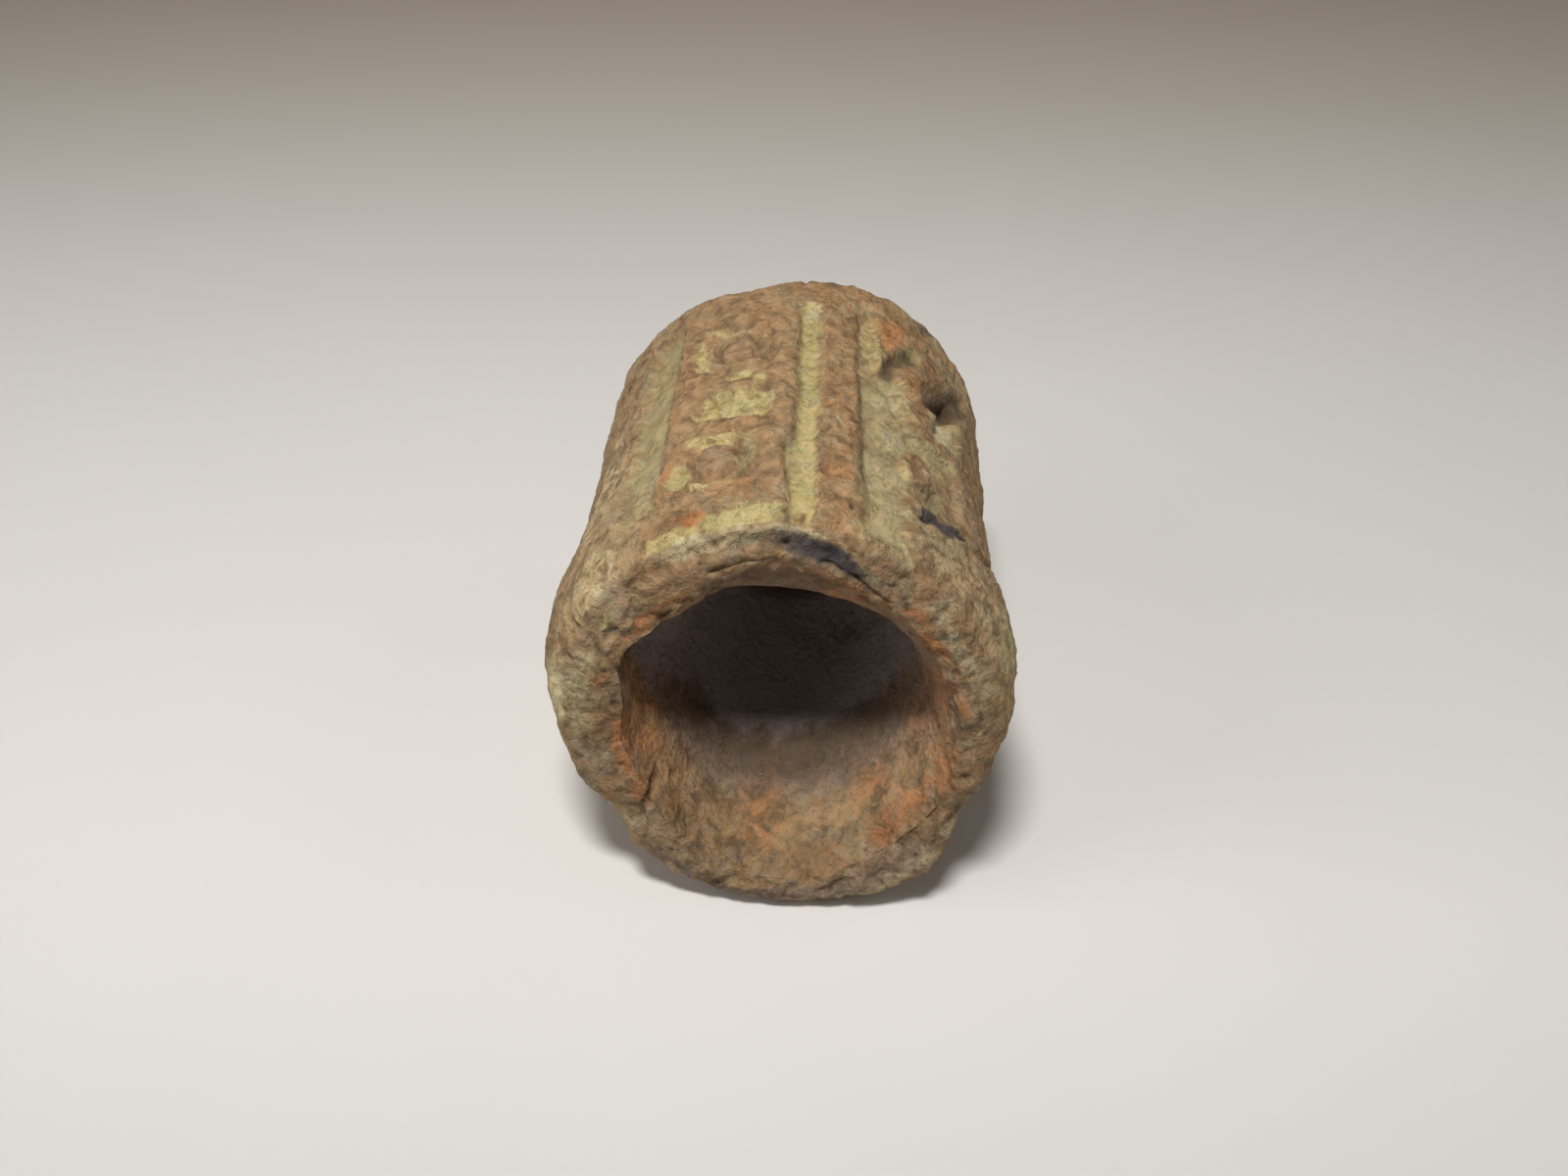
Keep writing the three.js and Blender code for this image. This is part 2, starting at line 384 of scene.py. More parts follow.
class Outline(Enum):
    """The outlines that a mark can have."""

    OVAL = "oval"
    SLOT = "slot"
    BLOCK = "block"
    RING = "ring"


@dataclass(frozen=True)
class Spot:
    """An outline at one place of a chart: sizes are half widths in millimetres."""

    angle: float
    way: float
    across: float
    along: float
    slant: float = 0.0
    outline: Outline = Outline.OVAL
    chart: Chart = Chart.SKIN

    def distance(self, surface: Surface) -> Array:
        """How far each vertex is outside the outline.

        Args:
            surface: The charted surface.

        Returns:
            Distances in millimetres, negative inside.
        """
        scale = surface.scale(self.chart, self.way)
        x, y = surface.laid_out(self.chart, self.angle, self.way, scale)
        cos, sin = math.cos(math.radians(self.slant)), math.sin(math.radians(self.slant))
        x, y = x * cos + y * sin, y * cos - x * sin
        if self.outline is Outline.SLOT:
            past = np.maximum(np.abs(y) - (self.along - self.across), 0.0)
            return np.hypot(x, past) - self.across
        if self.outline is Outline.BLOCK:
            corner = BLOCK_CORNER * min(self.across, self.along)
            out_x = np.abs(x) - self.across + corner
            out_y = np.abs(y) - self.along + corner
            outer = np.hypot(np.maximum(out_x, 0.0), np.maximum(out_y, 0.0))
            return outer + np.minimum(np.maximum(out_x, out_y), 0.0) - corner
        if self.outline is Outline.RING:
            return np.abs(np.hypot(x, y) - self.across) - self.along
        reach = np.hypot(x / self.across, y / self.along)
        return (reach - 1.0) * math.sqrt(self.across * self.along) * OVAL_STEEPNESS


@dataclass(frozen=True)
class Trail:
    """A line through (angle, way) points, as of a scratch, crack or crease."""

    points: tuple[tuple[float, float], ...]
    width: float
    chart: Chart = Chart.SKIN

    def distance(self, surface: Surface) -> Array:
        """How far each vertex is outside the line.

        Args:
            surface: The charted surface.

        Returns:
            Distances in millimetres, negative inside.
        """
        scale = surface.scale(self.chart, self.points[0][1])
        least = np.full(len(surface.angle), FAR_AWAY)
        for (angle, way), (next_angle, next_way) in zip(self.points, self.points[1:]):
            x, y = surface.laid_out(self.chart, angle, way, scale)
            step_x, step_y = math.radians(next_angle - angle) * scale, next_way - way
            share = np.clip((x * step_x + y * step_y) / (step_x ** 2 + step_y ** 2), 0.0, 1.0)
            least = np.minimum(least, np.hypot(x - share * step_x, y - share * step_y))
        return least - self.width / 2


@dataclass(frozen=True)
class Mark:
    """A mark with a ragged edge; `amount` is a stain's strength or a cut's depth in millimetres."""

    shape: Spot | Trail
    amount: float = 1.0
    edge: float = 1.3
    wobble: float = 0.6

    def inside(self, surface: Surface, ragged: Array) -> Array:
        """Returns each vertex's share of the mark, whose edge strays with the ragged noise."""
        away = self.shape.distance(surface) + self.wobble * ragged
        return eased(self.edge / 2, -self.edge / 2, away) * surface.share[self.shape.chart]


@dataclass(frozen=True)
class Cut(Mark):
    """A mark in the clay: `edge` is the width of its wall, `smooth` how worn its floor is."""

    edge: float = 0.6
    wobble: float = 0.25
    smooth: float = 0.0


class Tone(Enum):
    """The stains, films and painted shade on the clay. Each is an attribute of the mesh."""

    YELLOW = "yellow"
    OLIVE = "olive"
    RED = "red"
    ORANGE = "orange"
    PLUM = "plum"
    SOOT = "soot"
    DIRT = "dirt"
    PALE = "pale"
    DUST = "dust"


SLOT, BLOCK, RING, FACE = Outline.SLOT, Outline.BLOCK, Outline.RING, Chart.FACE
Rim, Deep = partial(Spot, chart=Chart.FACE), partial(Spot, chart=Chart.FUNNEL)

# what is cut into the barrel and its lip, what stands in the sunk fields, and pits and cracks
SUNK: tuple[Cut, ...] = (
    # the groove beside the bar, with a forked near end
    Cut(Spot(5.7, 19.2, 1.05, 16.9, 0.8, SLOT), 0.75, 1.1, 0.35, 0.8),
    Cut(Spot(4.2, 6, 0.85, 6.3, 6, SLOT), 0.7, 0.9, 0.3, 0.7),
    Cut(Spot(8, 2.6, 0.6, 2.4, -4, SLOT), 0.65, 0.7, 0.2, 0.7),
    # the groove right of the bar and the figured field
    Cut(Spot(23.3, 19, 1.05, 17.6, 2.4, BLOCK), 0.7, 1, 0.4, 0.4),
    Cut(Spot(27.6, 13.6, 2.5, 13, 0, BLOCK), 0.6, 1.8, 0.6, 0.75),
    Cut(Spot(42.5, 14.6, 4.3, 5.9, -6, SLOT), 0.65, 1.1, 0.3, 0.5),
    Cut(Spot(52.5, 25.2, 2, 3.8, -24), 0.6, 0.9, 0.3, 0.7),
    # the wide groove left of the panel
    Cut(Spot(-40.2, 21, 2.2, 16.5, 0.5, SLOT), 0.75, 1.2, 0.45, 0.6),
    # the panel: two ringed bosses, a sunk block and small hollows
    Cut(Spot(-15, 28.6, 2.3, 0.45, 0, RING), 0.9, 0.9, 0.2),
    Cut(Spot(-15, 28.4, 3.9, 0.3, 0, RING), 0.5, 0.8, 0.2),
    Cut(Spot(-26, 28.2, 0.8, 2.4, 12), 0.4, 0.8, 0.3),
    Cut(Spot(-14.8, 18.8, 3.8, 2.1, -5, BLOCK), 0.75, 1.3, 0.8, 0.1),
    Cut(Spot(-16.8, 10.2, 2.7, 0.5, 0, RING), 0.85, 1, 0.25),
    Cut(Spot(-16.8, 10.2, 4.3, 0.4, 0, RING), 0.45, 0.9, 0.25),
    Cut(Spot(-27.2, 9.2, 1.4, 2, 10), 0.65, 0.7, 0.3, 0.5),
    Cut(Spot(-12.8, 23.4, 1.2, 0.75, 20), 0.45, 0.6, 0.2, 0.4),
    Cut(Spot(-8.5, 24.5, 1, 0.6, 20), 0.3, 0.6, 0.2),
    Cut(Spot(-17, 0.9, 5.6, 1.7, 1, BLOCK), 0.4, 0.8, 0.35, 0.3),
    Cut(Trail(((-3.5, 33), (-1, 32.4), (1.2, 30.5), (2, 28), (2.4, 25.5)), 0.25), 0.3, 0.4, 0.1),
    Cut(Trail(((-31, 4.5), (-20, 4.2), (-8, 4.6), (1, 4)), 0.5), 0.25, 0.8, 0.3),
    # plainer carving in keeping on the sides and low down
    *(Cut(Spot(side, 23.2, 1.05, 14.2, 0, SLOT), 0.8) for side in (-97, -135, 91, 103, 145)),
    *(Cut(Spot(side, way, 3.05, 0.85, 0, RING), 0.7, 0.7, 0.3)
      for side, way in ((-116, 15), (-116, 30), (124, 15))),
    Cut(Spot(124, 26.5, 2.4, 3.4, 0, BLOCK), 0.45, 0.7, 0.4),
)
STANDING: tuple[Cut, ...] = (
    Cut(Spot(37.8, 14.2, 1.9, 2.6, -10), 1, 0.8, 0.25), Cut(Spot(36.6, 25.8, 2, 5, -6), 1, 1, 0.3),
    Cut(Spot(48.5, 20.3, 0.9, 4.4, -70, SLOT), 0.9, 1, 0.2),
    Cut(Spot(59.5, 24, 0.7, 5, -8, SLOT), 1, 0.8, 0.2), Cut(Spot(5.7, 1.2, 0.5, 0.8), 1, 0.5, 0.1),
)
PITS: tuple[Cut, ...] = (
    Cut(Spot(36.6, 27, 1.6, 3.2, -12), -0.6, 1.8, 0.4),
    Cut(Spot(-16.8, 10.2, 1.7, 1.7), -0.12, 1.4, 0.4),
    Cut(Trail(((28, 27.6), (30, 29.8), (33, 31.8), (37.5, 33.2)), 1.5), 0.7, 1.6, 0.5),
    Cut(Spot(50.6, 30, 2, 4.6, -48), 0.9, 2.6, 0.4), Cut(Spot(49, 25, 0.9, 3.2, -28), 0.9, 3, 0.2),
    Cut(Trail(((44.5, 26.8), (50, 28.6), (58, 31.4)), 2.2), 1.3, 0.9, 0.3),
    Cut(Trail(((38, 6.8), (43, 8), (50, 8.2), (57, 9), (65, 10), (76, 13.4)), 0.5), 0.5, 0.6, 0.25),
    Cut(Spot(42.5, 7.6, 1.5, 0.6, -12), 0.4, 0.6, 0.3),
    Cut(Spot(44.8, 12.2, 0.6, 1.9, -28), 0.5, 0.7, 0.3),
    Cut(Spot(18.2, 4, 0.3, 0.6), 0.3, 0.4, 0.1),
    Cut(Trail(((-56, 6), (-60, 4), (-63, 0), (-62, -3)), 0.35), 0.6, 0.5, 0.2),
    Cut(Trail(((-42, 19.1), (-20, 19.3), (0, 19.3), (22, 19)), 0.5, FACE), -0.35, 0.7, 0.1),
    Cut(Trail(((-38, 18.2), (-15, 18.2), (5, 18), (22, 17.6)), 1, FACE), 0.35, 1, 0.3),
    Cut(Trail(((-20, 16), (-12, 16.4), (-3, 16.7)), 0.3, FACE), 0.5, 0.7, 0.4),
    Cut(Trail(((13, 17.1), (20, 16.9), (29, 16.4), (37, 16.1)), 0.3, FACE), 0.5, 0.6, 0.4),
    Cut(Trail(((98, 19.3), (120, 19.1), (145, 19.5), (170, 19.3)), 3, FACE), 0, 1.2, 0.3, 0.9),
    Cut(Trail(((205, 18), (222, 17.6)), 1.8, FACE), 0, 1.2, 0.3, 0.8),
    Cut(Trail(((-60, 17.2), (-52, 16.6), (-44, 17.4)), 0.3, FACE), 0.3, 0.5, 0.2),
    Cut(Rim(-63, 17.9, 1.2, 0.6, 20), 0.35, 0.7, 0.3),
    Cut(Rim(118, 14.8, 1.5, 0.5, 30), 0.5, 0.7, 0.3),
    Cut(Rim(140, 15.6, 1.8, 0.5, -25), 0.5, 0.7, 0.3),
    Cut(Rim(160, 17.8, 2, 0.6, 10), 0.4, 0.7, 0.3),
    Cut(Rim(196, 17.4, 1.4, 0.4, 40), 0.4, 0.6, 0.3),
    Cut(Rim(236, 13.6, 0.5, 1.9, 20), 0.5, 0.7, 0.3),
)
# for each tone, the shapes of its stains with their strength, edge and wobble
STAINS: dict[Tone, dict[Spot | Trail, tuple[float, ...]]] = {
    Tone.YELLOW: {  # earth left in the sunk marks
        Spot(5.7, 19, 1, 17.2, 0.8, SLOT): (0.95, 1.1, 0.5),
        Spot(4.2, 5.6, 0.75, 6, 6, SLOT): (1, 0.9, 0.5),
        Spot(8.1, 2.2, 0.5, 2.2, -4, SLOT): (1, 0.75, 0.4),
        Spot(-14.2, 18.9, 3.5, 1.9, -6, BLOCK): (1, 1.6, 1),
        Spot(-21, 17.5, 1.6, 1, -20): (0.85, 1.3, 0.9),
        Spot(-13.4, 23.5, 1.2, 0.8, 30): (0.85, 0.9), Spot(-8, 22.3, 0.7, 0.6): (0.65, 0.9),
        Spot(-27.3, 9.2, 1.3, 1.9, 10): (1, 1.1), Spot(-19, 13.2, 2.6, 0.8, -12): (0.75, 1.35),
        Spot(-18, 6.8, 2.6, 0.5): (0.5, 1.2), Spot(-25.8, 28.2, 0.8, 2.6, 12): (0.7, 1.2),
        Spot(-22, 32.5, 1.6, 0.8, -20): (0.45, 1.35), Spot(-9, 26.3, 1.2, 0.7, 20): (0.35, 1.2),
        Spot(-26.5, -0.2, 3.2, 1.6): (1, 1.05), Spot(-17, 0.6, 3.6, 1.6): (0.9, 1.05),
        Spot(-7.5, 1.3, 3.6, 1.5): (1, 1.05), Spot(23.4, 31.4, 1.2, 5.2, 2): (0.6, 1.6, 0.9),
        Spot(51.5, 24.8, 2.3, 3.4, -28): (0.8, 1.2), Spot(33.6, 11.4, 0.5, 1.2): (0.65, 0.9),
        Spot(45.5, 15.4, 1.6, 0.5, -20): (0.6, 0.9), Spot(50, 9.9, 1.8, 0.4, -10): (0.6, 0.9),
        Spot(-58, -1.5, 1.6, 0.9, 20): (0.55, 1.8), Spot(-50, 1.5, 1.4, 2, 20): (0.4, 2.1),
        Rim(-55, 17.7, 1.1, 0.8): (0.7, 1.35), Rim(-68, 18, 1.6, 0.7): (0.35, 1.8),
    },
    Tone.OLIVE: {  # grey-green film
        Spot(-8.8, 10.4, 0.9, 2.8, -8): (0.95, 1.2), Spot(-12, 13.6, 2, 0.8): (0.6, 1.2),
        Spot(-40, 20.5, 2, 16, 0.5, SLOT): (0.9, 1.8, 1),
        Spot(27.6, 13, 2.6, 13.5, 0, BLOCK): (0.85, 3, 1.4),
        Spot(43, 17.8, 4.4, 2, 10): (0.8, 2.1, 0.9), Spot(45, 12.2, 1.2, 2.4, -28): (0.9, 1.2),
        Spot(36.5, 33, 1, 2.2, -38): (0.85, 1.4), Spot(22, 37.6, 1.4, 0.8): (0.6, 1.5),
        Spot(75, 3, 3, 3.4): (0.75, 2.4), Rim(78, 19.6, 2, 0.9): (0.6, 1.8),
        Rim(-80, 17.4, 4.6, 1.3): (0.7, 2.4), Spot(-83, -3, 3.2, 3): (0.9, 2.4, 1),
    },
    Tone.RED: {  # reddish clay where the skin is worn
        Spot(-16.5, 21, 6.4, 18, 0, BLOCK): (0.6, 3, 1.35),
        Spot(14.6, 19, 1.9, 20, 1, SLOT): (0.85, 1.5, 0.9), Spot(14, 40, 6, 2.6): (0.8, 3),
        Spot(36.8, 26.2, 2.1, 5.2, -8): (1, 1.5), Spot(42, 33, 3.4, 2.6, -40): (0.7, 2.4, 0.9),
        Spot(37.8, 14.2, 2, 2.6, -10): (1, 1), Spot(33, 36.8, 4.2, 2.6): (0.8, 2.4, 0.9),
        Spot(5.6, 1, 0.5, 0.8): (0.9, 0.6, 0.15), Spot(60, 24, 1, 6, -8): (0.6, 1.8),
        Spot(76, 22, 5, 15): (0.6, 6, 1.35), Spot(-57, 24, 3.2, 12): (0.4, 3.6, 1.35),
        Spot(-30.5, 14, 0.6, 7, 0, SLOT): (0.8, 1.2), Rim(5, 15.2, 8, 1.2): (1, 1.4),
        Rim(40, 15, 5, 1.2): (0.9, 1.8), Rim(66, 14.8, 4, 1.2): (0.8, 1.8),
        Rim(-35, 17.2, 3.6, 1.4): (0.5, 2.1), Deep(-85, 8, 4, 5): (0.9, 4.5, 1.35),
        Rim(165, 15.4, 3, 1.2): (0.9, 1.8), Deep(165, 5, 7, 3): (0.38, 4.5, 1.8),
        Deep(255, 5.5, 7, 6): (1, 4, 1.4), Deep(5, 2, 9, 3): (1, 2, 1.2),
        Deep(90, 5, 5, 4): (0.9, 3, 1.4),
    },
    Tone.ORANGE: {  # rust
        Rim(26, 15.2, 2.2, 0.6): (0.7, 1.2), Spot(-21, 2, 1.4, 0.85): (1, 0.75, 0.3),
        Spot(-6.5, 5.7, 1.2, 0.5): (0.5, 1.4), Spot(5.9, 0.9, 0.4, 0.9): (0.75, 0.6, 0.3),
        Spot(-31, 10.5, 0.7, 1.6): (0.5, 1.35), Spot(-33, 2.5, 1, 1): (0.4, 1.8),
        Spot(29, 34.8, 1.5, 2.4): (0.8, 1.5), Spot(35.6, 27.5, 1, 3, -8): (0.5, 1.8),
        Spot(13, 9, 1.2, 2): (0.3, 1.8), Rim(46, 17, 1.2, 0.7, 20): (1, 1.05),
        Rim(56, 16.4, 1.9, 0.6, 10): (0.9, 1.05), Rim(72, 15.7, 1.4, 0.5): (0.9, 1.05),
        Rim(79, 17, 1, 0.7): (0.95, 1.05), Rim(104, 15.8, 2.8, 1.3): (0.75, 1.8),
        Rim(122, 15, 2.8, 1.1): (1, 1.5), Rim(136, 14.9, 2.2, 1): (0.95, 1.5),
        Deep(112, 7, 2.2, 4): (0.35, 4.5, 1.8), Deep(185, 5.5, 1.6, 4.4): (0.5, 4, 1.8),
        Deep(142, 6, 1.4, 2.4): (0.45, 3, 1.8), Deep(254, 4, 3.6, 3.6): (0.5, 4, 1.8),
        Deep(84, 5.5, 3.6, 4): (0.5, 4, 1.8), Rim(-44, 15.3, 4, 0.7): (0.75, 1.35),
        Rim(-98, 13.9, 3, 0.8): (0.8, 1.35), Rim(-121, 14, 1.4, 0.9): (0.95, 1.2),
        Rim(-117, 17.2, 1, 0.7): (0.8, 1.2), Rim(-74, 16.2, 0.8, 0.6): (0.6, 1.05),
        Deep(27, 2.6, 2.4, 1.4): (0.6, 1.8, 1),
    },
    Tone.PLUM: {  # purple-brown bloom, and painted shade in the hollow
        # the rim spot at 2 degrees and all Deep spots: painted shade at the mouth's top edge and in
        # the hollow
        Spot(37.8, 13.4, 1.2, 1.7, -10): (0.5, 1.2), Rim(2, 14.9, 7.5, 1): (0.6, 1.4),
        Deep(240, 9, 6, 4): (0.5, 4, 1.4), Spot(-16.8, 10.1, 2.1, 2.1): (0.35, 1.4),
        Spot(-15, 28.5, 2.3, 2.3): (0.3, 1.5), Rim(-70, 18.6, 4.5, 0.9): (0.5, 1.8),
        Rim(176, 18.4, 8, 1.2): (0.85, 1.8), Rim(140, 18.2, 5.5, 1.6): (0.6, 2.1),
        Rim(-150, 17.6, 5, 1): (0.6, 1.8), Deep(185, 12, 26, 5.5): (1, 8, 1.6),
        Deep(40, 6, 12, 6): (0.8, 6, 1.2), Deep(100, 9, 5, 5): (0.85, 5, 1.2),
        Deep(2, 4, 8, 3.2): (0.75, 2.4, 1.2),
    },
    Tone.SOOT: {  # soot and black cracks
        Rim(9, 18.1, 4.8, 0.9, -8): (0.62, 1.8, 1.1), Rim(16, 17.8, 2.7, 0.9, -10): (1, 1.2, 0.8),
        Trail(((-2, 18.9), (5, 18.6), (10, 18.2)), 0.6, FACE): (0.5, 1.6, 0.9),
        Trail(((14, 17.2), (20, 16.9), (29, 16.3)), 0.35, FACE): (0.8, 0.7, 0.3),
        Spot(42.5, 7.6, 1.6, 0.75, -12): (1, 0.75),
        Trail(((38, 6.8), (43, 8), (50, 8.2), (57, 9)), 0.6): (0.9, 0.75, 0.6),
        Trail(((57, 9), (65, 10), (76, 13.4)), 0.35): (0.7, 0.75, 0.45),
        Spot(18.2, 4, 0.35, 0.65): (0.8, 0.6, 0.15), Rim(33, 18.9, 2, 0.6): (0.3, 1.2),
    },
    Tone.DIRT: {  # grime, dark spots, darker pits and painted shade
        # painted shade in the two ring troughs
        Spot(-16.8, 10.2, 2.6, 0.15, 0, RING): (0.6, 0.9, 0.6),
        Spot(-15, 28.6, 2.25, 0.15, 0, RING): (0.7, 0.9, 0.6),
        Spot(45.2, 12.2, 0.8, 1.8, -28): (0.42, 1.2, 0.9),
        Trail(((27.6, 27.2), (29.5, 29.6), (32.5, 31.6), (36, 32.8)), 1.8): (0.75, 1.6, 0.9),
        Trail(((44, 27.9), (49.5, 29.8), (59, 33)), 3): (0.9, 2.4),
        # painted shade down the left walls of the groove by the bar and of the next groove
        Spot(2.2, 12.5, 0.4, 7, 0.8, SLOT): (0.4, 1.4),
        Spot(20.2, 15, 0.2, 11, 2.4, SLOT): (0.45, 0.9, 0.4), Spot(42, 40.2, 1, 0.8): (0.6, 1.35),
        Trail(((-56, 6), (-60, 4), (-63, 0), (-62, -3)), 0.5): (0.7, 0.9, 0.3),
        # painted shade in the hollow below the top lip's shadow edge and on the mouth's top inner
        # edge
        Deep(180, 12.2, 15, 4.4): (0.62, 7, 1.6), Rim(2, 14.9, 7.5, 0.8): (0.28, 1.4),
    },
    Tone.PALE: {  # rubbed places, dry edges, a hair and a painted ridge highlight
        Spot(51, 25.4, 2.2, 3.2, -28): (1, 1.8), Spot(28.6, 14, 1.6, 12, 0, BLOCK): (0.32, 3, 1.6),
        Spot(46, 3, 7, 3): (0.3, 3.6, 1.4), Spot(5.7, 35.2, 0.9, 0.8): (0.8, 0.9),
        Spot(-52, 1, 3, 4, 10): (0.42, 3), Rim(-15, 18.7, 6.5, 0.8): (0.55, 1.35),
        Spot(-57, 16, 2.4, 10): (0.4, 3, 1.4), Spot(-83, -3.5, 2.6, 2.2): (0.62, 2.4, 1),
        # painted highlight along the lip's top ridge
        Trail(((-26, 19.3), (-12, 19.4), (2, 19.3), (12, 19.1)), 0.4, FACE): (1, 0.6),
        Rim(62, 18.4, 4.4, 1): (0.42, 1.8), Rim(-78, 18, 3.6, 0.9): (0.42, 1.8),
        Trail(((104, 19.4), (125, 19.2), (150, 19.8), (172, 19.2)), 1.6, FACE): (0.45, 1.8),
        Rim(-62, 16.6, 0.35, 0.3): (1, 0.45, 0.15), Spot(40, 14.4, 0.4, 0.35): (0.9, 0.45, 0.15),
        Trail(((14, 17), (17, 15.6), (19, 15.2)), 0.14): (0.9, 0.3, 0.08),
        Trail(((15, 15.2), (18, 16.4)), 0.14): (0.8, 0.3, 0.08),
    },
    Tone.DUST: {  # painted shade deep in the hollow
        # a grey-mauve that dims the lit floor by the top lip's shadow edge and sets the tone of the
        # dark depths
        Deep(180, 20, 60, 7.5): (1, 8, 1.6), Deep(-12, 15, 21, 11): (1, 5, 1.2),
    },
}


def carved(surface: Surface, noise: ClayNoise) -> tuple[Array, Array]:
    """How deep the carving goes, and where its floor is smooth.

    Args:
        surface: The charted surface.
        noise: The noise that wears the edges.

    Returns:
        Depths in millimetres and shares of smoothness, one a vertex.
    """
    fine, coarse = noise.layered(surface.place, 1.6, 3), noise.layered(surface.place + 5.0, 5.0, 2)
    ragged = 1.6 * fine + 1.6 * coarse - 1.6
    total, smooth = np.zeros(len(surface.angle)), np.zeros(len(surface.angle))
    for cut in SUNK:
        inside = cut.inside(surface, ragged)
        total = np.maximum(total, cut.amount * inside)
        smooth = np.maximum(smooth, cut.smooth * inside)
    for cut in STANDING:
        left = 1.0 - np.clip(cut.amount * cut.inside(surface, ragged), 0.0, 1.0)
        total, smooth = total * left, smooth * left
    for cut in PITS:
        total = total + cut.amount * cut.inside(surface, ragged)
    return total, smooth


def stained(surface: Surface, noise: ClayNoise) -> dict[str, Array]:
    """How strongly each tone covers the surface.

    Args:
        surface: The charted surface.
        noise: The noise that frays the stains' edges.

    Returns:
        For each tone's name, shares from 0 to 1, one a vertex.
    """
    fine, coarse = noise.layered(surface.place, 2.0, 4, 0.7), noise.layered(
        surface.place + 5.0, 5.0, 2)
    ragged = 2.4 * fine + 1.0 * coarse - 1.7
    masks = {tone.value: np.zeros(len(surface.angle)) for tone in Tone}
    for tone, stains in STAINS.items():
        for shape, values in stains.items():
            mark = Mark(shape, *values)
            cover = mark.amount * mark.inside(surface, ragged)
            masks[tone.value] = np.maximum(masks[tone.value], cover)
    return masks


@dataclass(frozen=True)
class Wear:
    """How lumpy, pitted and chipped the clay is, in millimetres."""

    lump: float = 0.55
    knob: float = 0.5
    crumb: float = 0.42
    scratch: float = 0.14
    pock: float = 0.4
    crumble: float = 0.5
    inset: float = 0.12
    bed: float = 0.1
    SLANT = ((0.9, 0.0, 0.0), (0.55, 0.35, 0.0), (0.0, 0.0, 0.9))  # draws the scratches out

    def depth(self, surface: Surface, noise: ClayNoise, smooth: Array) -> Array:
        """How far the worn skin lies below the form; lumps stand above it.

        Args:
            surface: The charted surface.
            noise: The noise that gives the wear its pattern.
            smooth: Where the clay is smooth, as shares.

        Returns:
            Depths in millimetres, one a vertex.
        """
        place, angle = surface.place, surface.angle
        lump = noise.layered(place, 7.0, 2) - 0.5
        knob = noise.layered(place + 31.0, 2.6, 3, 0.6) - 0.5
        crumb = noise.layered(place + 57.0, 1.1, 2, 0.7) - 0.5
        scratch = noise.layered(place @ np.array(self.SLANT) + 11.0, 0.9, 2, 0.7) - 0.5
        pock = eased(0.64, 0.86, noise.layered(place + 83.0, 1.5, 2, 0.4))
        skin, lip = surface.share[Chart.SKIN], surface.share[Chart.FACE]
        rough = 1.0 - 0.75 * smooth
        lip_edge = surface.form.lip_radius(angle)
        low_right = eased(75, 20, np.abs(wrapped(angle - 125)))
        crumbly = lip * (0.3 + low_right) * eased(lip_edge - 0.6, lip_edge - 2.2, surface.radius)
        total = self.inset + self.lump * lump + self.knob * knob * rough * (1.0 + 0.3 * lip)
        finer = self.crumb * crumb * (1.0 + 0.2 * lip - 0.6 * surface.share[Chart.FUNNEL])
        total += (finer + self.scratch * scratch * skin) * rough
        total += self.pock * pock * rough
        total += self.crumble * crumbly * (noise.layered(place + 7.0, 1.7, 2) - 0.4) * 2.0
        low = skin * eased(14.0, 8.0, np.abs(wrapped(angle - 180)))
        return between(total, np.clip(total, 0.0, self.bed), low)


@dataclass(frozen=True)
class Wire:
    """A shader socket on which Python's arithmetic adds Math nodes."""

    graph: "Graph"
    socket: bpy.types.NodeSocket | None

    def math(self, operation: str, other: "Wire | float" = 0.0, swapped: bool = False) -> "Wire":
        """Returns the result of a Math node; `swapped` puts the other value first."""
        pair = (other, self) if swapped else (self, other)
        return self.graph.node("ShaderNodeMath", {"operation": operation}, {0: pair[0], 1: pair[1]})

    def __add__(self, other: "Wire | float") -> "Wire":
        """Returns the sum."""
        return self.math("ADD", other)

    def __sub__(self, other: "Wire | float") -> "Wire":
        """Returns the difference."""
        return self.math("SUBTRACT", other)

    def __rsub__(self, other: float) -> "Wire":
        """Returns the difference from a number."""
        return self.math("SUBTRACT", other, True)

    def __mul__(self, other: "Wire | float") -> "Wire":
        """Returns the product."""
        return self.math("MULTIPLY", other)

    def __abs__(self) -> "Wire":
        """Returns the size without its sign."""
        return self.math("ABSOLUTE")

    __radd__, __rmul__ = __add__, __mul__

    def step(self, low: float, high: float) -> "Wire":
        """Returns a smooth step from 0 at `low` to 1 at `high`."""
        settings = {"interpolation_type": "SMOOTHSTEP"}
        return self.graph.node("ShaderNodeMapRange", settings,
                               {"Value": self, "From Min": low, "From Max": high})


